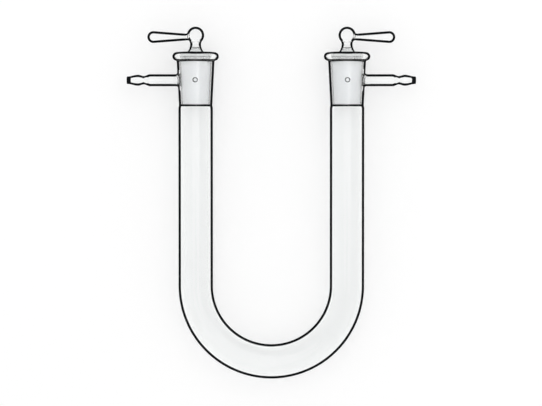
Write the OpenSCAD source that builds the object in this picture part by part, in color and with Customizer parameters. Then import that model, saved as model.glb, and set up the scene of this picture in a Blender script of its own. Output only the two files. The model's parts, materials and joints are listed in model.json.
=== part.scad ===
// Drying tube of borosilicate glass: a U tube with a ground socket and a side arm with a
// hose nozzle on each limb, closed by two hollow ground stoppers with lever handles.
// Turning a stopper by a quarter brings the hole in its plug in front of the side arm.
//
// Every module draws its piece upright, with the middle of the bend at the origin, the limbs
// along +Z and the plug holes facing -Y. lie_down() then lays the tube on its back, resting
// on its two rims and the bend, with the limbs along +Y and the plug holes facing +Z.

/* [U tube] */
// Outside diameter of the tube
tube_d = 20; // [17:0.5:28]
// Thickness of the tube's wall
tube_wall = 1.5; // [1:0.1:2.5]
// Distance between the axes of the two limbs
limb_spacing = 88; // [70:1:160]
// Straight length of a limb, from the bend to the foot of its socket
limb_l = 105; // [60:1:220]

/* [Ground sockets] */
// Diameter at the wide end of the ground cone, just under the rim
joint_d = 18.8; // [16:0.1:22]
// Length of the ground cone
joint_l = 26; // [24:1:40]
// Length over which the ground cone widens by one
joint_taper = 10; // [8:1:20]
// Thickness of the socket's wall
socket_wall = 1.6; // [1.2:0.1:2.4]
// Height of the fused seam between the limb and the socket
seam_l = 1.5; // [0.5:0.5:4]

/* [Beaded rims] */
// How far the rim stands out from the socket's wall
rim_w = 2.5; // [2:0.1:4]
// Height of the rim, whose edge is fully round
rim_h = 4.8; // [3:0.1:6]
// Radius that rounds the mouth of the socket
mouth_r = 0.8; // [0.3:0.1:1.2]

/* [Side arms] */
// Distance from the underside of the rim down to the axis of the side arm
arm_drop = 11.4; // [8:0.2:16]
// Outside diameter of the plain stem
arm_d = 7; // [6.6:0.1:9]
// Thickness of the side arm's wall
arm_wall = 1.1; // [0.8:0.1:1.4]
// Radius of the fused fillet where the side arm leaves the socket
arm_fillet = 1; // [0.4:0.1:1.5]
// Distance from the axis of the limb to the tip of the nozzle
arm_reach = 40; // [34:1:60]

/* [Hose nozzles] */
// Diameter at the tip
tip_d = 4.4; // [4:0.1:5]
// Radius that rounds the rim of the tip
tip_round = 0.5; // [0.2:0.1:0.6]
// Diameter of the olive
olive_d = 6.4; // [5.6:0.1:6.6]
// Distance from the tip to the thickest part of the olive
olive_at = 6.6; // [4:0.1:8]
// Diameter of the groove behind the olive
groove_d = 4.9; // [4.2:0.1:5.4]
// Distance from the tip to the groove
groove_at = 10; // [9:0.1:12]
// Distance from the tip to the plain stem
nozzle_l = 13.5; // [13:0.1:16]

/* [Plugs] */
// Film of grease between the plug and the socket
grease_gap = 0.05; // [0.02:0.01:0.1]
// Thickness of the hollow plug's wall
plug_wall = 1.5; // [1:0.1:2]
// Thickness of the plug's closed top
plug_top_t = 2.5; // [1.5:0.1:4]
// How far the top of the plug lies below the top of the rim
plug_sink = 0.4; // [0:0.1:1]
// Radius that rounds the shoulder of the plug
shoulder_r = 1.2; // [0.4:0.1:2]
// Radius that rounds the inside of the plug under its top
dome_r = 4; // [2:0.5:5]
// Diameter of the hole in the side of the plug
hole_d = 2.5; // [2:0.1:4]

/* [Handles] */
// Diameter of the ball on top of the stopper
ball_d = 10; // [9:0.5:11]
// Height of the ball's centre above the rim
ball_rise = 9.9; // [9:0.1:12]
// Diameter of the neck where it is narrowest
waist_d = 6.3; // [5:0.1:7]
// Radius of the curve from the neck into the ball
neck_r = 3.2; // [2.5:0.1:3.5]
// Diameter at which the flared neck meets the top of the plug
flare_d = 10.5; // [9:0.1:12]
// Distance from the stopper's axis to the end of the lever
lever_l = 28; // [20:1:36]
// Diameter of the lever's round end
lever_end_d = 6.9; // [5:0.1:8]
// Diameter of the lever where it leaves the ball
lever_root_d = 3.9; // [3:0.1:5]
// How far the lever's axis lies below the centre of the ball
lever_drop = 1.05; // [0:0.05:1.5]

/* [Hidden] */

$fn = 96;
GLASS = [0.86, 0.92, 0.94, 0.5];
LEFT = -1;
RIGHT = 1;
ARC_STEPS = 8;
CUT_OVER = 1; // how far a cut runs past the surface that it opens

bend_r = limb_spacing / 2;
tube_r = tube_d / 2;
arm_z = joint_l - arm_drop;
rim_top = joint_l + rim_h;
rim_r = socket_r(joint_l) + rim_w;
rim_edge_r = rim_r - rim_h / 2;
plug_top = rim_top - plug_sink;
ball_z = rim_top + ball_rise;
lever_z = ball_z - lever_drop;

// The neck is narrowest where a curve of neck_r that touches the ball also touches the
// waist, and the flare below that is the arc from there to the top of the plug.
waist_r = waist_d / 2;
waist_z = ball_z - sqrt(pow(ball_d / 2 + neck_r, 2) - pow(waist_r + neck_r, 2));
flare_out = flare_d / 2 - waist_r;
flare_r = (flare_out * flare_out + pow(waist_z - plug_top, 2)) / (2 * flare_out);

// Lying on its back, the tube touches the ground with the underside of the bend and with
// both rims. The rims are the wider, so the limbs rise by the angle tip towards them.
rest_l = bend_r + limb_l + joint_l + rim_h / 2;
rest_reach = norm([rest_l, rim_edge_r]);
tip = atan2(rim_edge_r, rest_l) + asin((rim_h / 2 - tube_r) / rest_reach);
lie_z = tube_r + bend_r * sin(tip);
far_y = (limb_l + ball_z) * cos(tip) + ball_d / 2;
near_y = -bend_r * cos(tip) - tube_r;

// Radius of the ground cone at height z above the foot of the socket
function cone_r(z) = (joint_d - (joint_l - z) / joint_taper) / 2;

// Radius of the socket's outside at height z above its foot
function socket_r(z) = cone_r(z) + socket_wall;

// Radius of the plug at height z above the foot of the socket
function plug_r(z) = cone_r(z) - grease_gap;

// Points on an arc about [x, z], from one angle to the other
function arc(x, z, r, from, to) = [
    for (i = [0 : ARC_STEPS])
        let (a = from + (to - from) * i / ARC_STEPS)
        [x + r * cos(a), z + r * sin(a)]
];

// A value that leaves a and reaches b smoothly as f goes from 0 to 1
function ease(a, b, f) = a + (b - a) * (1 - cos(180 * f)) / 2;

// The nozzle's stations as [distance from the tip, radius], from the stem to the tip
nozzle_stations = [
    [nozzle_l, arm_d / 2],
    [groove_at, groove_d / 2],
    [olive_at, olive_d / 2],
    [tip_round, tip_d / 2],
];

// The nozzle's outline, inset from its outside, as [radius, distance from the limb's axis]
function nozzle_outline(inset) = [
    for (k = [0 : len(nozzle_stations) - 2])
        let (a = nozzle_stations[k], b = nozzle_stations[k + 1])
        for (i = [0 : ARC_STEPS])
            let (f = i / ARC_STEPS)
            if (i > 0 || k == 0)
                [ease(a.y, b.y, f) - inset, arm_reach - a.x - (b.x - a.x) * f]
];

module lie_down() {
    translate([0, -(near_y + far_y) / 2, lie_z])
        rotate([tip - 90, 0, 0])
        children();
}

// Places a shape whose origin is the foot of the socket on the left or the right limb
module on_limb(side) {
    translate([side * bend_r, 0, limb_l])
        children();
}

// Turns a shape that runs up its own axis outwards, away from the other limb
module outwards(side) {
    rotate([0, side * 90, 0])
        children();
}

// Half a ring of solid glass rod, which joins the limbs below the origin
module bend(rod_r) {
    rotate([-90, 0, 0])
        rotate_extrude(angle = 180)
            translate([bend_r, 0])
                circle(rod_r);
}

// Limb and socket as solid bodies, up to the top of the beaded rim
module limb_outside(side) {
    on_limb(side) {
        rotate_extrude()
            polygon([
                [0, -limb_l],
                [tube_r, -limb_l],
                [tube_r, -seam_l],
                [socket_r(0), 0],
                [socket_r(joint_l), joint_l],
                [socket_r(joint_l), rim_top - rim_h / 2],
                [0, rim_top - rim_h / 2],
            ]);
        rotate_extrude() {
            translate([0, joint_l])
                square([rim_edge_r, rim_h]);
            intersection() {
                translate([rim_edge_r, joint_l + rim_h / 2])
                    circle(rim_h / 2);
                translate([rim_edge_r, joint_l])
                    square([rim_h, rim_h]);
            }
        }
    }
}

// The room inside limb and socket: the tube's bore, the ground cone and its round mouth
module limb_inside(side) {
    bore_r = tube_r - tube_wall;
    mouth_z = rim_top - mouth_r;
    on_limb(side)
        rotate_extrude()
            polygon(concat(
                [
                    [0, -limb_l],
                    [bore_r, -limb_l],
                    [bore_r, -seam_l],
                    [cone_r(0), 0],
                ],
                arc(cone_r(mouth_z) + mouth_r, mouth_z, mouth_r, 180, 90),
                [
                    [cone_r(mouth_z) + mouth_r, rim_top + CUT_OVER],
                    [0, rim_top + CUT_OVER],
                ]
            ));
}

// Side arm as a solid body: a fillet, a plain stem, a groove, an olive and a round-edged tip
module arm_outside(side) {
    foot_r = arm_d / 2 + arm_fillet;
    foot_x = socket_r(arm_z);
    on_limb(side)
        translate([0, 0, arm_z])
            outwards(side)
                rotate_extrude()
                    polygon(concat(
                        [[0, 0], [foot_r, 0]],
                        arc(foot_r, foot_x + arm_fillet, arm_fillet, 270, 180),
                        nozzle_outline(0),
                        arc(tip_d / 2 - tip_round, arm_reach - tip_round, tip_round, 0, 90),
                        [[0, arm_reach]]
                    ));
}

// The side arm's bore, at an even distance from its outside
module arm_inside(side) {
    on_limb(side)
        translate([0, 0, arm_z])
            outwards(side)
                rotate_extrude()
                    polygon(concat(
                        [[0, 0], [arm_d / 2 - arm_wall, 0]],
                        nozzle_outline(arm_wall),
                        [
                            [tip_d / 2 - arm_wall, arm_reach + CUT_OVER],
                            [0, arm_reach + CUT_OVER],
                        ]
                    ));
}

// The U tube: limbs, bend, sockets, rims and side arms are blown and fused as one piece
module u_tube() {
    color(GLASS)
        lie_down()
            difference() {
                union() {
                    bend(tube_r);
                    for (side = [LEFT, RIGHT]) {
                        limb_outside(side);
                        arm_outside(side);
                    }
                }
                bend(tube_r - tube_wall);
                for (side = [LEFT, RIGHT]) {
                    limb_inside(side);
                    arm_inside(side);
                }
            }
}

// Plug and neck: a ground cone, hollow and open at the bottom, under a flared solid neck
module plug_and_neck() {
    cavity_top = plug_top - plug_top_t;
    shoulder_z = plug_top - shoulder_r;
    dome_z = cavity_top - dome_r;
    neck_x = waist_r + neck_r;
    rotate_extrude()
        polygon(concat(
            [[plug_r(0) - plug_wall, 0], [plug_r(0), 0]],
            arc(plug_r(shoulder_z) - shoulder_r, shoulder_z, shoulder_r, 0, 90),
            arc(
                waist_r + flare_r, waist_z, flare_r,
                180 + atan2(waist_z - plug_top, flare_r - flare_out), 180
            ),
            arc(neck_x, waist_z, neck_r, 180, atan2(ball_z - waist_z, -neck_x)),
            [[0, ball_z], [0, cavity_top]],
            arc(plug_r(dome_z) - plug_wall - dome_r, dome_z, dome_r, 90, 0)
        ));
}

// Lever: it widens away from the ball and ends in a round tip that its sides touch
module lever(side) {
    end_r = lever_end_d / 2;
    root_r = lever_root_d / 2;
    root_x = ball_d / 2;
    end_x = lever_l - end_r;
    span = end_x - root_x;
    flank = asin(end_r / norm([span, root_r])) - atan2(root_r, span);
    foot_x = root_x / 2;
    outwards(side) {
        rotate_extrude()
            polygon([
                [0, foot_x],
                [root_r - (root_x - foot_x) * tan(flank), foot_x],
                [end_r * cos(flank), end_x - end_r * sin(flank)],
                [0, end_x - end_r * sin(flank)],
            ]);
        translate([0, 0, end_x])
            sphere(end_r);
    }
}

// Stopper: plug, neck, ball and lever are one piece of glass
module stopper(side) {
    color(GLASS)
        lie_down()
            on_limb(side)
                difference() {
                    union() {
                        plug_and_neck();
                        translate([0, 0, ball_z])
                            sphere(ball_d / 2);
                        translate([0, 0, lever_z])
                            lever(side);
                    }
                    translate([0, 0, arm_z])
                        rotate([90, 0, 0])
                            cylinder(h = joint_d, d = hole_d);
                }
}

module left_stopper() {
    stopper(LEFT);
}

module right_stopper() {
    stopper(RIGHT);
}

u_tube();
left_stopper();
right_stopper();
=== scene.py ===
import json
import math

import bmesh
import bpy
import numpy as np
from mathutils import Matrix, Vector


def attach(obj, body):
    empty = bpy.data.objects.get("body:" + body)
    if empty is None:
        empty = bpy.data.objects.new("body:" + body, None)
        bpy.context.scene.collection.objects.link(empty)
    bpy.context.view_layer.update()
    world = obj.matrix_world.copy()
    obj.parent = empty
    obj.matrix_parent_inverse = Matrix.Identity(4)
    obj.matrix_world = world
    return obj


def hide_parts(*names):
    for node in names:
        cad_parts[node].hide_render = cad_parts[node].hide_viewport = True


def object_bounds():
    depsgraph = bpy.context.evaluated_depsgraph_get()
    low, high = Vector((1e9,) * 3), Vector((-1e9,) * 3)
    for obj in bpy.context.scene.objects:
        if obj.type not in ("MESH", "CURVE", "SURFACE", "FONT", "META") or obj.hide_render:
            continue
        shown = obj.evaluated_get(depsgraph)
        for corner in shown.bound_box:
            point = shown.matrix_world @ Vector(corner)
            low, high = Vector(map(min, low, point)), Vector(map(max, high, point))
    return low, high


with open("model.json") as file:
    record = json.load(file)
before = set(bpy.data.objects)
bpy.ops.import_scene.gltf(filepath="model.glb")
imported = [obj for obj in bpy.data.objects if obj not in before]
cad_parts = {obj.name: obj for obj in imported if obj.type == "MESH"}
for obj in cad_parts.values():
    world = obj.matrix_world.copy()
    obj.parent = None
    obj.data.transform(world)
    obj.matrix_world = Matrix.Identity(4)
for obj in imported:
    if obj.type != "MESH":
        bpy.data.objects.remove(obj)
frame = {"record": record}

cad_low, cad_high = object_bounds()

# ---------------------------------------------------------------------------------------
# How the tube lies
# Each piece is worked out flat, with the middle of the bend at the origin, the limbs along
# +Y and the plugs' holes facing +Z, and is then laid down on its back. The rims are wider
# than the tube, so the limbs rise a little towards them.
# ---------------------------------------------------------------------------------------
MM = 0.001
limb_l = 105 * MM        # from the bend to the foot of the ground socket
clamp_h = 55 * MM        # from the bend to the middle of the place for a clamp

mounts = {mount["name"]: mount for mount in frame["record"]["mounts"]}
clamp = mounts["right_limb_clamp"]
limb_x = clamp["pos_m"][0]
tilt = math.atan2(clamp["axis"][2], clamp["axis"][1])
lay_down = (
    Matrix.Translation(clamp["pos_m"])
    @ Matrix.Rotation(tilt, 4, "X")
    @ Matrix.Translation((-limb_x, -clamp_h, 0))
)


# ---------------------------------------------------------------------------------------
# The glass
# Borosilicate glass all over. Drawn tube and worked handles are clear and polished, and
# the cones of sockets and plugs are ground matt. Edges, seams and lips are painted dark
# as shade.
# ---------------------------------------------------------------------------------------
class Wire:
    """A socket in a node tree. Sums and products of wires add Math nodes to that tree."""

    def __init__(self, tree, socket=None):
        self.tree, self.socket = tree, socket

    def node(self, kind, settings=None, inputs=None, output=0):
        """Adds any other node: its settings first, then the values and links of its sockets."""
        made = self.tree.nodes.new(kind)
        for name, value in (settings or {}).items():
            setattr(made, name, value)
        for key, value in (inputs or {}).items():
            if isinstance(value, Wire):
                self.tree.links.new(value.socket, made.inputs[key])
            else:
                made.inputs[key].default_value = value
        return Wire(self.tree, made.outputs[output] if made.outputs else None)

    def maths(self, operation, *terms):
        return self.node("ShaderNodeMath", {"operation": operation}, dict(enumerate(terms)))

    def between(self, low, high):
        """0 below low and 1 above high, with a smooth change from one to the other."""
        places = {"Value": self, "From Min": low, "From Max": high}
        return self.node("ShaderNodeMapRange", {"interpolation_type": "SMOOTHSTEP"}, places)

    def __add__(self, other):
        return self.maths("ADD", self, other)

    def __sub__(self, other):
        return self.maths("SUBTRACT", self, other)

    def __rsub__(self, other):
        return self.maths("SUBTRACT", other, self)

    def __mul__(self, other):
        return self.maths("MULTIPLY", self, other)

    def __truediv__(self, other):
        return self.maths("DIVIDE", self, other)

    __radd__ = __add__
    __rmul__ = __mul__


GLASS_IOR = 1.473        # borosilicate glass
RIPPLE, GRIT = 120.0, 9000.0     # how fine the waves of blown glass and the ground grain are
EDGE_BLUR = 0.01         # how soft the border of a painted dark edge is
LEAST_SLANT = 0.01       # keeps the curl finite where the skin squarely faces the view


def glass(name, tint, roughness=0.0, grain=0.0, milk=0.0):
    """Glass that lets lamps through, with painted shade: its edges are mixed to near-black where a
    real wall would bend light away.

    The skin's attributes say how it curls at each spot. along is a direction in the skin, and
    rim holds the width of the painted dark edge over the radius of the curl in that direction,
    the same across it, and whether the painted edge also shows from inside the glass. So a
    painted edge looks just as wide from any side. Milk is the share of light that the glass
    scatters.
    """
    made = bpy.data.materials.new(name)
    made.use_nodes = True
    tree = made.node_tree
    tree.nodes.clear()
    start = Wire(tree)
    where = start.node("ShaderNodeTexCoord", output="Object")
    ripple = start.node("ShaderNodeTexNoise", {}, {"Vector": where, "Scale": RIPPLE, "Detail": 1.0})
    grit = start.node("ShaderNodeTexNoise", {}, {"Vector": where, "Scale": GRIT, "Detail": 2.0})
    height = ripple * (1 - grain) + grit * grain
    bump = start.node(
        "ShaderNodeBump", {}, {"Strength": 0.3, "Distance": 0.03 * MM, "Height": height}
    )
    clear = start.node(
        "ShaderNodeBsdfPrincipled",
        {},
        {
            "Base Color": tint,
            "Roughness": roughness + ripple * 0.02,
            "IOR": GLASS_IOR,
            "Transmission Weight": 1 - milk,
            "Normal": bump,
        },
    )
    along = start.node("ShaderNodeAttribute", {"attribute_name": "along"}, output="Vector")
    along = start.node(
        "ShaderNodeVectorTransform",
        {"vector_type": "VECTOR", "convert_from": "OBJECT", "convert_to": "WORLD"},
        {"Vector": along},
    )
    # Painted shade: how squarely the skin faces the view sets where near-black is mixed in, so the
    # dark edges follow the view.
    facing = [
        1 - start.node("ShaderNodeLayerWeight", {}, {"Blend": 0.5, **normal}, output="Facing")
        for normal in ({}, {"Normal": along})
    ]
    slant_squared = 1 - facing[0] * facing[0]
    slant = start.maths("SQRT", slant_squared)
    lengthwise = start.maths("MINIMUM", facing[1] * facing[1], slant_squared)
    sideways = slant_squared - lengthwise
    rim = start.node("ShaderNodeAttribute", {"attribute_name": "rim"}, output="Vector")
    curl_along, curl_across, from_inside = [
        start.node("ShaderNodeSeparateXYZ", {}, {"Vector": rim}, output=axis) for axis in "XYZ"
    ]
    curl = curl_along * lengthwise + curl_across * sideways
    curl = curl / start.maths("MAXIMUM", slant_squared, LEAST_SLANT)
    inside = start.node("ShaderNodeNewGeometry", output="Backfacing")
    shown = 1 - inside * (1 - from_inside)
    # The mask of the painted dark edges, where the glass is mixed to a near-black diffuse as
    # painted shade.
    rim = (curl - 1 + slant).between(-EDGE_BLUR, EDGE_BLUR) * shown
    painted_black = start.node("ShaderNodeBsdfDiffuse", {}, {"Color": (0.008, 0.009, 0.01, 1)})
    painted_edges = start.node("ShaderNodeMixShader", {}, {0: rim, 1: clear, 2: painted_black})
    through = start.node("ShaderNodeBsdfTransparent", {}, {"Color": (0.97, 0.975, 0.98, 1)})
    # Shadow rays pass the clear glass but are stopped where the edges are painted black.
    shadow = start.node("ShaderNodeMixShader", {}, {0: rim, 1: through, 2: painted_black})
    lamp_ray = start.node("ShaderNodeLightPath", output="Is Shadow Ray")
    whole = start.node("ShaderNodeMixShader", {}, {0: lamp_ray, 1: painted_edges, 2: shadow})
    start.node("ShaderNodeOutputMaterial", {}, {"Surface": whole})
    return made


# Clear glass, the matt inside of a ground socket, and the matt outside of a ground plug.
GLASSES = (
    glass("clear_glass", (0.99, 0.995, 0.993, 1)),
    glass("ground_socket", (0.98, 0.985, 0.99, 1), roughness=0.15, grain=0.5),
    glass("ground_plug", (0.965, 0.97, 0.975, 1), roughness=0.35, grain=0.5, milk=0.35),
)
CLEAR, GROUND_SOCKET, GROUND_PLUG = range(3)
# A finish is one of these glasses, and how wide the painted dark edge of a round of it is.
# Some skins get no painted edge from any side, and a sharp lip or a seam is painted dark all over.
NEVER, ALWAYS = -1.0, 1.0
FULL_CURL = 3.0          # a curl strong enough to make a spot painted dark from every side
OUTSIDE, UNDER_BEAD = (CLEAR, 1.4 * MM), (CLEAR, 0.7 * MM)
# The bore gets no painted edge; lips and seams are painted dark all over.
BORE, PAINTED_DARK = (CLEAR, NEVER), (CLEAR, ALWAYS)
SOCKET_CONE, PLUG_CONE = (GROUND_SOCKET, NEVER), (GROUND_PLUG, 0.6 * MM)


def rim_of(edge_w, curl_along, curl_across):
    """The attribute rim of points of the skin, which sets its painted dark edges, with curls as 1
    over their radius.
    """
    if edge_w in (NEVER, ALWAYS):
        curl = FULL_CURL * edge_w
        return np.array([[curl, curl, edge_w]] * np.size(curl_along))
    return np.stack(
        np.broadcast_arrays(edge_w * curl_along, edge_w * curl_across, 0.0 * curl_along), -1
    ).reshape(-1, 3)


# ---------------------------------------------------------------------------------------
# Limbs and bend
# One length of drawn borosilicate tube, bent in the flame into a U. Its wall stays even
# round the bend, and each end is fused to the foot of a ground socket.
# ---------------------------------------------------------------------------------------
ROUND = 96               # points round the tube
BEND_STEPS, LIMB_STEPS = 96, 10
tube_r = clamp["dims"]["r_mm"] * MM
bore_r = tube_r - 1.5 * MM
seam_l = 1.5 * MM        # the fused seam between the tube and its socket
foot_l = 3 * MM          # the end of the tube, which is meshed with the socket


def swept_skin():
    """A U-shaped path with a round swept along it."""
    tree = bpy.data.node_groups.new("swept_skin", "GeometryNodeTree")
    for size in ("Bend radius", "Limb length", "Radius"):
        tree.interface.new_socket(size, in_out="INPUT", socket_type="NodeSocketFloat")
    # Rim sets how wide the glass is painted dark at the skin's edges.
    tree.interface.new_socket("Rim", in_out="INPUT", socket_type="NodeSocketVector")
    tree.interface.new_socket("Finish", in_out="INPUT", socket_type="NodeSocketMaterial")
    tree.interface.new_socket("Skin", in_out="OUTPUT", socket_type="NodeSocketGeometry")
    start = Wire(tree)
    given = tree.nodes.new("NodeGroupInput")
    bend, limb, radius, rim, finish = [Wire(tree, socket) for socket in given.outputs[:5]]
    step = start.node("GeometryNodeInputIndex")
    bent = start.maths("MAXIMUM", step - LIMB_STEPS, 0.0) * (math.pi / BEND_STEPS)
    bent = start.maths("MINIMUM", bent, math.pi)
    before = start.maths("MAXIMUM", LIMB_STEPS - step, 0.0)
    after = start.maths("MAXIMUM", step - (LIMB_STEPS + BEND_STEPS), 0.0)
    across = start.maths("COSINE", bent) * bend * -1.0
    upward = (before + after) * limb * (1 / LIMB_STEPS) - start.maths("SINE", bent) * bend
    place = start.node("ShaderNodeCombineXYZ", {}, {"X": across, "Y": upward})
    line = start.node("GeometryNodeCurvePrimitiveLine")
    path = start.node(
        "GeometryNodeResampleCurve", {}, {"Curve": line, "Count": 2 * LIMB_STEPS + BEND_STEPS + 1}
    )
    path = start.node("GeometryNodeSetPosition", {}, {"Geometry": path, "Position": place})
    vector = {"data_type": "FLOAT_VECTOR"}
    along = start.node("GeometryNodeInputTangent")
    path = start.node(
        "GeometryNodeStoreNamedAttribute",
        vector,
        {"Geometry": path, "Name": "along", "Value": along},
    )
    ring = start.node(
        "GeometryNodeCurvePrimitiveCircle", {}, {"Resolution": ROUND, "Radius": radius}
    )
    skin = start.node("GeometryNodeCurveToMesh", {}, {"Curve": path, "Profile Curve": ring})
    skin = start.node(
        "GeometryNodeStoreNamedAttribute", vector, {"Geometry": skin, "Name": "rim", "Value": rim}
    )
    skin = start.node("GeometryNodeRealizeInstances", {}, {"Geometry": skin})
    skin = start.node("GeometryNodeSetMaterial", {}, {"Geometry": skin, "Material": finish})
    start.node("NodeGroupOutput", {}, {"Skin": skin})
    return tree


def grown(tree, **sizes):
    """The plain mesh that a tree of geometry nodes makes with these sizes."""
    holder = bpy.data.objects.new(tree.name, bpy.data.meshes.new(tree.name))
    bpy.context.scene.collection.objects.link(holder)
    modifier = holder.modifiers.new(tree.name, "NODES")
    modifier.node_group = tree
    for socket in tree.interface.items_tree:
        size = socket.name.lower().replace(" ", "_")
        if size in sizes:
            modifier[socket.identifier] = sizes[size]
    shaped = holder.evaluated_get(bpy.context.evaluated_depsgraph_get())
    mesh = bpy.data.meshes.new_from_object(shaped)
    bpy.data.objects.remove(holder)
    return mesh


skin_tree = swept_skin()
# The tube's outside gets a painted dark edge, its bore none.
tube_skins = [
    grown(
        skin_tree,
        bend_radius=limb_x,
        limb_length=limb_l - foot_l,
        radius=radius,
        rim=rim_of(edge_w, 0.0, 1 / radius)[0].tolist(),
        finish=GLASSES[glass_of],
    )
    for radius, (glass_of, edge_w) in ((tube_r, OUTSIDE), (bore_r, BORE))
]


# ---------------------------------------------------------------------------------------
# Ground sockets with beaded rims
# A socket is blown from thicker tube and ground to a 1 in 10 cone. Its mouth is rolled
# back in the flame into a full round bead, and its foot is fused to the limb.
# ---------------------------------------------------------------------------------------
joint_l = 26 * MM        # the ground cone
joint_r = 9.4 * MM       # its wide end, just under the rim
taper = 1 / 20           # how fast the cone's radius grows
socket_wall = 1.6 * MM
rim_h = 4.8 * MM
rim_edge_r = joint_r + socket_wall + 0.1 * MM
rim_fillet = 0.9 * MM
mouth_r = 0.8 * MM
ridge_l = 0.7 * MM       # the low ridge inside the seam, its top and how far it stands in
ridge_top = 0.3 * MM
ridge_t = 0.2 * MM
seam_line = 0.5 * MM     # the painted dark lines round the seam's outside and the rim's underside
fillet_line = 0.3 * MM
bead_line = 1.3 * MM


def cone_r(height):
    return joint_r - (joint_l - height) * taper


def settle(value, low, high):
    """The place between low and high where a rising value passes zero."""
    for _ in range(40):
        middle = (low + high) / 2
        if value(middle) < 0:
            low = middle
        else:
            high = middle
    return middle


LINE_STEP = 0.05 * MM    # between the points of a straight outline


def line(start, end):
    return np.linspace(start, end, 2 + int(math.dist(start, end) / LINE_STEP))


def arc(centre, radius, start, end):
    """Points on an arc about a centre, between two angles in degrees."""
    turned = np.radians(np.linspace(start, end, 8 + int(abs(end - start) / 2)))
    return np.array(centre) + radius * np.stack([np.cos(turned), np.sin(turned)], 1)


def eased(*stations):
    """An outline that swells and narrows smoothly between stations (radius, height)."""
    share = np.linspace(0, 1, 60)[:, None]
    swell = (1 - np.cos(share * math.pi)) / 2
    parts = []
    for start, end in zip(stations, stations[1:]):
        radius = start[0] + (end[0] - start[0]) * swell
        parts.append(np.hstack([radius, start[1] + (end[1] - start[1]) * share]))
    return np.vstack(parts)


ROW_TURN = math.radians(15)      # the most that an outline turns from one row to the next
CURL_STEP = 0.25 * MM            # how far beside a row its curl along the outline is measured
BESIDE = 0.02 * MM               # and how far beside it its curl round the axis


class Outline:
    """The outline of a turned skin: points (radius, height), and the rows of its mesh."""

    def __init__(self, spacing, *parts):
        self.points = parts[0][:1]
        self.rows = [0.0]
        for part in parts:
            points = np.vstack([self.points, part])
            apart = np.append(True, np.hypot(*np.diff(points, axis=0).T) > 1e-8)
            self.points = points[apart]
            self.along = np.append(0.0, np.cumsum(np.hypot(*np.diff(self.points, axis=0).T)))
            heading = np.unwrap(np.arctan2(*np.diff(part, axis=0).T))
            bends = np.abs(np.diff(heading)).sum() / ROW_TURN
            count = max(1, round((self.along[-1] - self.rows[-1]) / spacing), round(bends))
            self.rows += list(np.linspace(self.rows[-1], self.along[-1], count + 1)[1:])

    def at(self, along):
        return [np.interp(along, self.along, self.points[:, k]) for k in (0, 1)]

    def nearest(self, spot):
        """Where the outline is nearest to a point (radius, height), and how far out that lies."""
        start, step = self.points[:-1], np.diff(self.points, axis=0)
        share = np.clip(((spot - start) * step).sum(1) / (step**2).sum(1), 0, 1)
        gap = spot - start - share[:, None] * step
        away = np.hypot(*gap.T)
        k = away.argmin()
        outward = step[k, 1] * gap[k, 0] - step[k, 0] * gap[k, 1]
        along = self.along[k] + share[k] * (self.along[k + 1] - self.along[k])
        return along, math.copysign(away[k], outward)

    def turned(self, around):
        """The skin's points, one ring of them for each row."""
        radius, height = [value[:, None] for value in self.at(np.array(self.rows))]
        angle = np.arange(around) * 2 * math.pi / around
        return np.stack([radius * np.cos(angle), radius * np.sin(angle), height + 0 * angle], 2)

    def finished(self, usual, *others):
        """The glass of each row of faces, and the rim of each ring of points.

        The finish is the usual one, or another one (finish, from height, to height).
        """
        rows = np.array(self.rows)
        heading = np.unwrap(np.arctan2(*np.diff(self.points, axis=0).T[::-1]))
        middles = (self.along[1:] + self.along[:-1]) / 2
        places = [rows + step * CURL_STEP for step in (-2, -1, 0, 1, 2)]
        headings = np.array([np.interp(place, middles, heading) for place in places])
        curl = (headings[2:] - headings[:-2]).max(axis=0) / (2 * CURL_STEP)
        rise = np.gradient(self.points[:, 1], self.along)
        around = rise / np.maximum(self.points[:, 0], 0.1 * MM)
        beside = [np.interp(rows + shift, self.along, around) for shift in (-BESIDE, BESIDE)]
        curls = (curl, np.maximum(*beside))
        heights = self.at(np.array(self.rows))[1]
        finishes = [usual] * len(self.rows)
        for finish, low, high in others:
            for row, middle in enumerate((heights[1:] + heights[:-1]) / 2):
                finishes[row] = finish if low < middle < high else finishes[row]
        finishes[-1] = finishes[-2]
        rims = {edge_w: rim_of(edge_w, *curls) for _, edge_w in finishes}
        return (
            [glass_of for glass_of, _ in finishes[:-1]],
            np.array([rims[edge_w][row] for row, (_, edge_w) in enumerate(finishes)]),
        )


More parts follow.
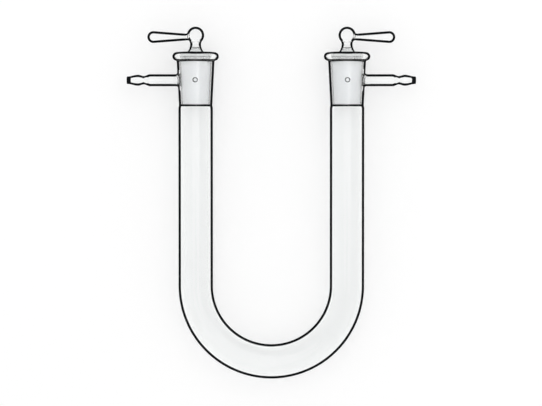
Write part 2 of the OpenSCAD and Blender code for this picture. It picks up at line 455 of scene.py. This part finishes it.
class Skin:
    """Gathers the faces of one piece, which are welded where they meet."""

    def __init__(self):
        self.spots, self.alongs, self.rims, self.faces, self.glasses = [], [], [], [], []

    def add(self, rings, glasses, rims, left_out=(), along=None):
        """Adds the faces between rings of points, apart from the cells that are left out.

        glasses holds the glass of each row of faces, or one for all of them, and rims the
        rim of each point, or of each ring of points.
        """
        rows, around = rings.shape[0] - 1, rings.shape[1]
        glasses = np.broadcast_to(glasses, rows)
        rims = np.asarray(rims, float)
        rims = rims[:, None] if rims.ndim == 2 else rims
        first = len(self.spots)
        self.spots.extend(rings.reshape(-1, 3))
        self.alongs.extend((np.gradient(rings, axis=0) if along is None else along).reshape(-1, 3))
        self.rims.extend(np.broadcast_to(rims, rings.shape).reshape(-1, 3))
        for row in range(rows):
            low = first + row * around
            for column in range(around):
                if (row, column) not in left_out:
                    ring = (low + column, low + (column + 1) % around)
                    self.faces.append((*ring, ring[1] + around, ring[0] + around))
                    self.glasses.append(glasses[row])

    def mesh(self, side):
        """The skin as a flat-lying mesh, on the right limb or mirrored on the left one."""
        made = bpy.data.meshes.new("skin")
        places = [(side * (limb_x + x), limb_l + z, y) for x, y, z in self.spots]
        made.from_pydata(places, [], self.faces)
        for finish in GLASSES:
            made.materials.append(finish)
        made.polygons.foreach_set("material_index", self.glasses)
        along = np.array(self.alongs)[:, [0, 2, 1]] * (1, side, side)
        along /= np.maximum(np.linalg.norm(along, axis=1, keepdims=True), 1e-12)
        # rim carries where the glass is painted dark at its edges.
        for name, values in (("along", along), ("rim", np.array(self.rims))):
            store = made.attributes.new(name, "FLOAT_VECTOR", "POINT")
            store.data.foreach_set("vector", values.ravel())
        return made


WELD = 0.002 * MM        # points closer than this are welded


def piece(name, *meshes):
    """Welds meshes into one piece of glass, closed all over, and lays it down."""
    shell = bmesh.new()
    for mesh in meshes:
        slots = [GLASSES.index(finish) for finish in mesh.materials]
        first = len(shell.faces)
        shell.from_mesh(mesh)
        shell.faces.ensure_lookup_table()
        for face in shell.faces[first:]:
            face.material_index = slots[face.material_index]
    bmesh.ops.remove_doubles(shell, verts=shell.verts, dist=WELD)
    bmesh.ops.recalc_face_normals(shell, faces=shell.faces)
    shell.transform(lay_down)
    for face in shell.faces:
        face.smooth = True
    mesh = bpy.data.meshes.new(name)
    shell.to_mesh(mesh)
    shell.free()
    along = np.empty(3 * len(mesh.vertices))
    mesh.attributes["along"].data.foreach_get("vector", along)
    along = along.reshape(-1, 3) @ np.array(lay_down.to_3x3()).T
    mesh.attributes["along"].data.foreach_set("vector", along.ravel())
    for finish in GLASSES:
        mesh.materials.append(finish)
    made = bpy.data.objects.new(name, mesh)
    bpy.context.scene.collection.objects.link(made)
    return made


def wall_r(height):
    return cone_r(height) + socket_wall


def fillet_middle(height):
    return wall_r(height) + rim_fillet, height


rim_top = joint_l + rim_h
rim_middle = (rim_edge_r, joint_l + rim_h / 2)
mouth_middle = (cone_r(rim_top - mouth_r) + mouth_r, rim_top - mouth_r)
fillet_h = settle(
    lambda height: rim_h / 2 + rim_fillet - math.dist(fillet_middle(height), rim_middle), 0, joint_l
)
fillet_x = fillet_middle(fillet_h)[0]
fillet_end = math.degrees(math.atan2(rim_middle[1] - fillet_h, rim_middle[0] - fillet_x))
socket_outside = Outline(
    0.5 * MM,
    line((tube_r, -foot_l), (tube_r, -seam_l)),
    eased((tube_r, -seam_l), (wall_r(0), 0)),
    line((wall_r(0), 0), (wall_r(fillet_h), fillet_h)),
    arc((fillet_x, fillet_h), rim_fillet, 180, fillet_end),
    arc(rim_middle, rim_h / 2, fillet_end - 180, 90),
    line((rim_edge_r, rim_top), (mouth_middle[0], rim_top)),
    arc(mouth_middle, mouth_r, 90, 180),
)
socket_inside = Outline(
    0.5 * MM,
    line((bore_r, -foot_l), (bore_r, -ridge_l)),
    eased((bore_r, -ridge_l), (cone_r(0) - ridge_t, -ridge_top), (cone_r(0), 0)),
    line((cone_r(0), 0), (mouth_middle[0] - mouth_r, mouth_middle[1])),
)


# ---------------------------------------------------------------------------------------
# Side arms with hose nozzles
# Each arm is a narrow tube fused to its socket. Its end is drawn in the flame into a
# groove and an olive that hold a hose, and its bore opens through the ground cone.
# ---------------------------------------------------------------------------------------
nozzle = mounts["right_hose_nozzle"]
arm_r = nozzle["dims"]["r_mm"] * MM
arm_h = (lay_down.inverted() @ Vector(nozzle["pos_m"])).y - limb_l
arm_wall = 1.1 * MM
arm_fillet = 1.0 * MM
bore_edge = 0.15 * MM    # rounding of the bore's edge in the ground cone
tip_round = 0.5 * MM
lip_round = 0.3 * MM
lip_l = 2.0 * MM         # the fire-polished end, which is painted dark all over
stem_from = 3 * MM       # where the plain stem begins, clear of the root
arm_reach = cad_high.x - limb_x
# The radius of stem, groove, olive and tip, and how far each is from the end, in mm.
stations = [(3.5, 13.5), (2.45, 10.0), (3.2, 6.6), (2.2, 0.5)]
ROOT_SKIN, ROOT_ROLL = 5, 6      # rows of a root in the skin it leaves, and round its edge
ROOT_FADE = 0.6 * MM     # over which the painted dark edge of a root fades out beside its outline
NO_CURL = -0.02          # a curl just too weak for a painted edge
LEVEL = 0.001 * MM       # how far off its plane a strip may lie that still counts as in it


def block(outline, around, height, half_rows, half_columns, column=0):
    """A block of cells that makes way for a branch: its cells, and its border in order.

    The border runs once round the block as (place along the outline, angle round the axis).
    """
    heights = outline.at(np.array(outline.rows))[1]
    middle = int(np.abs(heights - height).argmin())
    low, high = middle - half_rows, middle + half_rows
    left, right = column - half_columns, column + half_columns
    cells = {(row, side % around) for row in range(low, high) for side in range(left, right)}
    border = [(low, side) for side in range(left, right)]
    border += [(row, right) for row in range(low, high)]
    border += [(high, side) for side in range(right, left, -1)]
    border += [(row, left) for row in range(high, low, -1)]
    return cells, [(outline.rows[row], side * 2 * math.pi / around) for row, side in border]


def rolled_root(outline, border, height, foot_r, fillet, side=1, lean=0.0, at=0.0, facing=0.0):
    """Where a side arm, a lever or a hole leaves a turned skin sideways, with a rounded root.

    A ball of the fillet's size rolls round the root, outside the skin where side is 1 and
    inside it where side is -1. The branch has the radius foot_r at the distance at from the
    axis, and widens by lean. Gives the rings from the block's border to the branch, how the
    skin curls round the branch at each point of the root's roll, and the distance from the
    axis and the direction at which each strip across the root ends.
    """
    level = math.atan(lean)
    strips, curls, ends = [], [], []
    for along, angle in border:
        angle -= facing
        out, up = outline.at(along)
        clock = math.atan2(up - height, out * math.sin(angle))
        aside = Vector((0, math.cos(clock), math.sin(clock)))

        def rolled(reach):
            foot = Vector((reach, 0, height)) + aside * (foot_r + (reach - at) * lean)
            return foot, foot + (aside * math.cos(level) - Vector((math.sin(level), 0, 0))) * fillet

        def beside(reach):
            centre = rolled(reach)[1]
            return outline.nearest((centre.xy.length, centre.z))

        reach = settle(lambda x: beside(x)[1] - side * fillet, 0, 2 * outline.points[:, 0].max())
        foot, centre = rolled(reach)
        touch, touch_angle = beside(reach)[0], math.atan2(centre.y, centre.x)
        strip = []
        for share in np.linspace(0, 1, ROOT_SKIN + 1):
            radius, up = outline.at(along + (touch - along) * share)
            turned = angle + (touch_angle - angle) * share
            strip.append(Vector((radius * math.cos(turned), radius * math.sin(turned), up)))
        first, last = strip.pop() - centre, foot - centre
        rolls = np.linspace(0, 1, ROOT_ROLL + 1)
        strip += [centre + first.slerp(last, share) * fillet for share in rolls]
        strips.append([Matrix.Rotation(facing, 3, "Z") @ spot for spot in strip])
        leans = [(centre - spot).dot(aside) / fillet for spot in strip[ROOT_SKIN:]]
        spread = [(spot - Vector((spot.x, 0, height))).length for spot in strip[ROOT_SKIN:]]
        curls.append([lean / away for lean, away in zip(leans, spread)])
        ends.append((reach, clock))
    return np.array(strips).transpose(1, 0, 2), np.array(curls).T, np.array(ends)


def root_rims(rings, curls, edge_w, skin_rim):
    """The rims of a root's points, for a painted dark edge of even width round its outline.

    The strips that lie in the plane of the skin's axis and the branch are that outline, and
    away from it a root is not painted dark. Also gives the directions along the skin.
    """
    level = [k for k in range(rings.shape[1]) if np.abs(rings[:, k, 1]).max() < LEVEL]
    parts = [np.linspace(rings[:-1, k], rings[1:, k], 20).reshape(-1, 3) for k in level]
    outline = np.vstack(parts)[:, ::2]
    away = np.linalg.norm(rings[:, :, None, ::2] - outline, axis=3).min(axis=2)[:, :, None]
    rolled = rim_of(edge_w, 0 * curls, curls).reshape(*curls.shape, 3)
    rolled[:, :, 1] = np.maximum(rolled[:, :, 1], skin_rim[1])
    rims = np.concatenate([np.broadcast_to(skin_rim, (ROOT_SKIN, *rolled.shape[1:])), rolled])
    hidden = np.clip((away - edge_w) / ROOT_FADE + 0.5, 0, 1)
    along = np.gradient(rings, axis=0)
    along[:ROOT_SKIN] = (0, 0, 1)
    return np.minimum(rims, rims * (1 - hidden) + NO_CURL * hidden), along


def sideways(ends, outline, height, foot_r, lean=0.0, at=0.0):
    """Rings of a branch from its rounded root on, to the end of its own outline.

    The points of a ring become evenly spaced on the way from the root to the outline, so
    that the outside and the bore of an arm have the same points at its tip.
    """
    reach, clock = ends[:, 0], np.unwrap(ends[:, 1])
    even = (np.arange(len(clock)) / len(clock) * 2 - 0.75) * math.pi
    start = outline.points[0, 1]
    rings = []
    for share in np.linspace(0, 1, 6)[:-1]:
        place = reach + (start - reach) * share
        rings.append((place, foot_r + (place - at) * lean, clock + (even - clock) * share))
    for radius, place in zip(*outline.at(np.array(outline.rows))):
        rings.append((place + 0 * even, radius, even))
    return np.array(
        [
            np.stack([place, radius * np.cos(turned), height + radius * np.sin(turned)], 1)
            for place, radius, turned in rings
        ]
    )


def nozzle_outline(inset, *end):
    """The arm's outline from its plain stem to its tip, inset from its outside."""
    worked = [(radius * MM - inset, arm_reach - back * MM) for radius, back in stations]
    stem = line((arm_r - inset, wall_r(arm_h) + stem_from), worked[0])
    return Outline(0.5 * MM, stem, eased(*worked), *end)


lip_from = arm_reach - lip_l
tip_r = stations[-1][0] * MM
lip_r = tip_r - arm_wall
arm_outside = nozzle_outline(
    0.0,
    arc((tip_r - tip_round, arm_reach - tip_round), tip_round, 0, 90),
    line((tip_r - tip_round, arm_reach), (lip_r + lip_round, arm_reach)),
    arc((lip_r + lip_round, arm_reach - lip_round), lip_round, 90, 180),
)
arm_bore = nozzle_outline(
    arm_wall, line((lip_r, arm_reach - tip_round), (lip_r, arm_reach - lip_round))
)

limb_top = Skin()
# Zones painted dark all over: the seam, the rim's underside, the ridge in the bore and the arm's
# fire-polished end; under the bead the painted dark edge is narrower.
for outline, zones, radius, fillet, arm, arm_zones in (
    (
        socket_outside,
        (
            OUTSIDE,
            (PAINTED_DARK, 0, seam_line),
            (PAINTED_DARK, fillet_h + fillet_line, joint_l),
            (UNDER_BEAD, joint_l, joint_l + bead_line),
        ),
        arm_r,
        arm_fillet,
        arm_outside,
        (OUTSIDE, (PAINTED_DARK, lip_from, math.inf)),
    ),
    (
        socket_inside,
        (BORE, (PAINTED_DARK, -ridge_l, 0), (SOCKET_CONE, 0, joint_l)),
        arm_r - arm_wall,
        bore_edge,
        arm_bore,
        (BORE, (PAINTED_DARK, lip_from, math.inf)),
    ),
):
    cells, border = block(outline, ROUND, arm_h, half_rows=12, half_columns=9)
    glasses, rims = outline.finished(*zones)
    arm_glasses, arm_rims = arm.finished(*arm_zones)
    middle = len(glasses) // 2
    root, curls, ends = rolled_root(outline, border, arm_h, radius, fillet)
    root_rim, along = root_rims(root, curls, zones[0][1], rims[middle])
    limb_top.add(outline.turned(ROUND), glasses, rims, cells)
    root_glasses = [glasses[middle]] * ROOT_SKIN + [arm_glasses[0]] * ROOT_ROLL
    limb_top.add(root, root_glasses, root_rim, (), along)
    rings = sideways(ends, arm, arm_h, radius)
    lead = len(rings) - len(arm_rims)
    limb_top.add(rings, arm_glasses[0], np.vstack([arm_rims[:1].repeat(lead, axis=0), arm_rims]))

u_tube = piece("u_tube_glass", *tube_skins, limb_top.mesh(-1), limb_top.mesh(1))
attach(u_tube, "u_tube")
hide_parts("u_tube")


# ---------------------------------------------------------------------------------------
# Stoppers: hollow ground plug, neck, ball and lever
# A stopper is worked from one piece of glass. Its plug is blown hollow and ground to fit
# its socket with a film of grease, and a hole in its side meets the side arm when turned.
# ---------------------------------------------------------------------------------------
STOPPER_ROUND = 64
grease = 0.05 * MM
plug_wall = 1.5 * MM
plug_top = rim_top - 0.4 * MM
plug_edge = 0.4 * MM     # rounding of the plug's bottom edge
shoulder_r = 1.2 * MM
dome_r = 4 * MM
cavity_top = plug_top - 2.5 * MM
hole_r = 1.25 * MM
hole_foot_r = 0.95 * MM  # the hole is drilled from outside and narrows a little
hole_edge = 0.25 * MM
foot_line = 0.15 * MM    # the painted dark line round the plug's bottom edge
ball_r = 5 * MM
ball_h = rim_top + 9.9 * MM
waist_r = 3.15 * MM
neck_r = 3.2 * MM
flare_foot_r = 5.25 * MM
flare_fillet = 1.0 * MM
lever_h = ball_h - 1.05 * MM
lever_root_r = 1.95 * MM
lever_end_r = 3.45 * MM
lever_reach = 28 * MM
lever_fillet = 1.0 * MM


def plug_r(height):
    return cone_r(height) - grease


# The neck is narrowest where its curve into the ball meets the flare that rises from the
# plug, and a small fillet joins that flare to the plug's flat top.
neck_x = waist_r + neck_r
waist_h = ball_h - math.sqrt((ball_r + neck_r) ** 2 - neck_x**2)
flare_out = flare_foot_r - waist_r
flare_r = (flare_out**2 + (waist_h - plug_top) ** 2) / (2 * flare_out)
flare_x = waist_r + flare_r
foot_h = plug_top + flare_fillet
foot_x = flare_x - math.sqrt((flare_r - flare_fillet) ** 2 - (waist_h - foot_h) ** 2)
foot_end = math.degrees(math.atan2(foot_h - waist_h, foot_x - flare_x)) + 360
neck_end = math.degrees(math.atan2(ball_h - waist_h, -neck_x))
shoulder_h = plug_top - shoulder_r
shoulder_x = plug_r(shoulder_h) - shoulder_r
bottom_r = plug_r(0) - plug_wall / 2
dome_h = cavity_top - dome_r
dome_x = plug_r(dome_h) - plug_wall - dome_r

stopper_outside = Outline(
    0.4 * MM,
    line((bottom_r, 0), (plug_r(0) - plug_edge, 0)),
    arc((plug_r(plug_edge) - plug_edge, plug_edge), plug_edge, -90, 0),
    line((plug_r(plug_edge), plug_edge), (plug_r(shoulder_h), shoulder_h)),
    arc((shoulder_x, shoulder_h), shoulder_r, 0, 90),
    line((shoulder_x, plug_top), (foot_x, plug_top)),
    arc((foot_x, foot_h), flare_fillet, 270, foot_end),
    arc((flare_x, waist_h), flare_r, foot_end, 180),
    arc((neck_x, waist_h), neck_r, 180, neck_end),
    arc((0, ball_h), ball_r, neck_end - 180, 90),
)
stopper_inside = Outline(
    0.4 * MM,
    line((bottom_r, 0), (plug_r(0) - plug_wall + plug_edge, 0)),
    arc((plug_r(plug_edge) - plug_wall + plug_edge, plug_edge), plug_edge, 270, 180),
    line((plug_r(plug_edge) - plug_wall, plug_edge), (dome_x + dome_r, dome_h)),
    arc((dome_x, dome_h), dome_r, 0, 90),
    line((dome_x, cavity_top), (0, cavity_top)),
)

lever_end_x = lever_reach - lever_end_r
span = lever_end_x - ball_r
flank = math.asin(lever_end_r / math.hypot(span, lever_root_r)) - math.atan2(lever_root_r, span)
lever_lean = math.tan(flank)
lever_start = ball_r + 2.5 * MM
lever_outline = Outline(
    0.5 * MM,
    line(
        (lever_root_r + (lever_start - ball_r) * lever_lean, lever_start),
        (lever_end_r * math.cos(flank), lever_end_x - lever_end_r * math.sin(flank)),
    ),
    arc((0, lever_end_x), lever_end_r, -math.degrees(flank), 90),
)

stopper_skin = Skin()
hole_block = {"half_rows": 5, "half_columns": 3, "column": STOPPER_ROUND // 4}
lever_cells, lever_border = block(
    stopper_outside, STOPPER_ROUND, lever_h, half_rows=8, half_columns=7
)
hole_out_cells, hole_out_border = block(stopper_outside, STOPPER_ROUND, arm_h, **hole_block)
hole_in_cells, hole_in_border = block(stopper_inside, STOPPER_ROUND, arm_h, **hole_block)
# The plug's bottom edge is painted dark all over, its ground cone gets a narrow painted dark edge,
# and the part above the socket none.
glasses, rims = stopper_outside.finished(
    OUTSIDE,
    (PAINTED_DARK, -math.inf, foot_line),
    (PLUG_CONE, foot_line, joint_l),
    (BORE, joint_l, plug_top),
)
stopper_skin.add(
    stopper_outside.turned(STOPPER_ROUND), glasses, rims, lever_cells | hole_out_cells
)
# Inside, the plug's bottom edge is painted dark all over.
glasses, rims = stopper_inside.finished(BORE, (PAINTED_DARK, -math.inf, foot_line))
stopper_skin.add(stopper_inside.turned(STOPPER_ROUND), glasses, rims, hole_in_cells)

lever_root, curls, lever_ends = rolled_root(
    stopper_outside, lever_border, lever_h, lever_root_r, lever_fillet, lean=lever_lean, at=ball_r
)
ball_rim = rim_of(OUTSIDE[1], 1 / ball_r, 1 / ball_r)[0]
lever_root_rim, along = root_rims(lever_root, curls, OUTSIDE[1], ball_rim)
stopper_skin.add(lever_root, CLEAR, lever_root_rim, (), along)
rings = sideways(lever_ends, lever_outline, lever_h, lever_root_r, lean=lever_lean, at=ball_r)
_, rims = lever_outline.finished(OUTSIDE)
lead = len(rings) - len(rims)
stopper_skin.add(rings, CLEAR, np.vstack([rims[:1].repeat(lead, axis=0), rims]))

across = math.pi / 2
hole_out, _, _ = rolled_root(
    stopper_outside, hole_out_border, arm_h, hole_r, hole_edge, side=-1, facing=across
)
hole_in, _, _ = rolled_root(
    stopper_inside, hole_in_border, arm_h, hole_foot_r, hole_edge, facing=across
)
hole_wall = np.linspace(hole_out[-1], hole_in[-1], 5)
never, always = [rim_of(edge_w, 0.0, 0.0) for edge_w in (NEVER, ALWAYS)]
ground = rim_of(PLUG_CONE[1], 1 / plug_r(arm_h), 1 / plug_r(arm_h))
from_air = always * (1, 1, 0)    # painted dark, but clear when it is seen through the plug's glass
# Painted shade: the hole's rounded edge and its wall are painted dark, and the ground skin round it
# gets the plug's painted edge.
hole_glasses = [GROUND_PLUG] * ROOT_SKIN + [CLEAR] * ROOT_ROLL
hole_rims = np.vstack([ground] * (ROOT_SKIN + 1) + [always] * ROOT_ROLL)
stopper_skin.add(hole_out, hole_glasses, hole_rims)
stopper_skin.add(hole_in, CLEAR, never.repeat(len(hole_in), axis=0))
stopper_skin.add(hole_wall, CLEAR, from_air.repeat(len(hole_wall), axis=0))

for side, hand in (("left", -1), ("right", 1)):
    stopper = piece(f"{side}_stopper_glass", stopper_skin.mesh(hand))
    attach(stopper, f"{side}_stopper")
    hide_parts(f"{side}_stopper")


# ---------------------------------------------------------------------------------------
# Bench, backdrop, lamps and camera
# A plain white bench under soft overhead light, seen straight from above through a long
# lens, so that the tube keeps its true outline.
# ---------------------------------------------------------------------------------------
view_w = 315.7 * MM      # what the camera sees across
left_by, down_by = 0.2 * MM, 0.1 * MM    # where the view's middle lies from the tube's middle
floor_size = 3.0
ceiling_shade = 0.1      # how much dimmer the ceiling is than the walls
SEEING_RAYS = ("Camera", "Glossy", "Transmission")


def bench_top():
    """White card that looks white by itself and through glass, and still takes shadows."""
    made = bpy.data.materials.new("white_bench")
    made.use_nodes = True
    tree = made.node_tree
    tree.nodes.clear()
    start = Wire(tree)
    card = start.node("ShaderNodeBsdfDiffuse", {}, {"Color": (0.6, 0.6, 0.6, 1)})
    glow = start.node("ShaderNodeEmission", {}, {"Color": (1, 1, 1, 1), "Strength": 0.42})
    ray = [start.node("ShaderNodeLightPath", output=f"Is {kind} Ray") for kind in SEEING_RAYS]
    none = start.node("ShaderNodeEmission", {}, {"Strength": 0.0})
    seen = start.node("ShaderNodeMixShader", {}, {0: ray[0] + ray[1] + ray[2], 1: none, 2: glow})
    both = start.node("ShaderNodeAddShader", {}, {0: card, 1: seen})
    start.node("ShaderNodeOutputMaterial", {}, {"Surface": both})
    return made


floor_mesh = bpy.data.meshes.new("bench")
half = floor_size / 2
floor_mesh.from_pydata(
    [(-half, -half, 0), (half, -half, 0), (half, half, 0), (-half, half, 0)], [], [(0, 1, 2, 3)]
)
floor_mesh.materials.append(bench_top())
floor = bpy.data.objects.new("bench", floor_mesh)
bpy.context.scene.collection.objects.link(floor)

world = bpy.data.worlds.new("studio")
bpy.context.scene.world = world
world.use_nodes = True
world.node_tree.nodes.clear()
start = Wire(world.node_tree)
room = start.node("ShaderNodeBackground", {}, {"Color": (1, 1, 1, 1), "Strength": 0.85})
upward = start.node("ShaderNodeTexCoord", output="Generated")
upward = start.node("ShaderNodeSeparateXYZ", {}, {"Vector": upward}, output="Z")
shade = 1 - upward.between(0.3, 0.9) * ceiling_shade
backdrop = start.node("ShaderNodeBackground", {}, {"Color": (1, 1, 1, 1), "Strength": shade})
ray = [start.node("ShaderNodeLightPath", output=f"Is {kind} Ray") for kind in SEEING_RAYS]
both = start.node("ShaderNodeMixShader", {}, {0: ray[0] + ray[1] + ray[2], 1: room, 2: backdrop})
start.node("ShaderNodeOutputWorld", {}, {"Surface": both})


def soft_lamp(name, place, size, power):
    lamp = bpy.data.lights.new(name, "AREA")
    lamp.shape = "SQUARE"
    lamp.size = size
    lamp.energy = power
    holder = bpy.data.objects.new(name, lamp)
    holder.location = place
    holder.rotation_euler = (-Vector(place)).to_track_quat("-Z", "Y").to_euler()
    bpy.context.scene.collection.objects.link(holder)


soft_lamp("overhead_softbox", place=(0.3, 0.5, 1.4), size=1.2, power=4)

lens = bpy.data.cameras.new("camera")
lens.lens = 150
lens.sensor_width = 36
lens.clip_end = 20
camera = bpy.data.objects.new("camera", lens)
tube_middle = (cad_low + cad_high) / 2
camera.location = (
    tube_middle.x - left_by,
    tube_middle.y - down_by,
    lens.lens / lens.sensor_width * view_w + tube_r,
)
bpy.context.scene.collection.objects.link(camera)
bpy.context.scene.camera = camera
bpy.context.scene.view_settings.view_transform = "Standard"
bpy.context.scene.cycles.max_bounces = 24
bpy.context.scene.cycles.transmission_bounces = 24
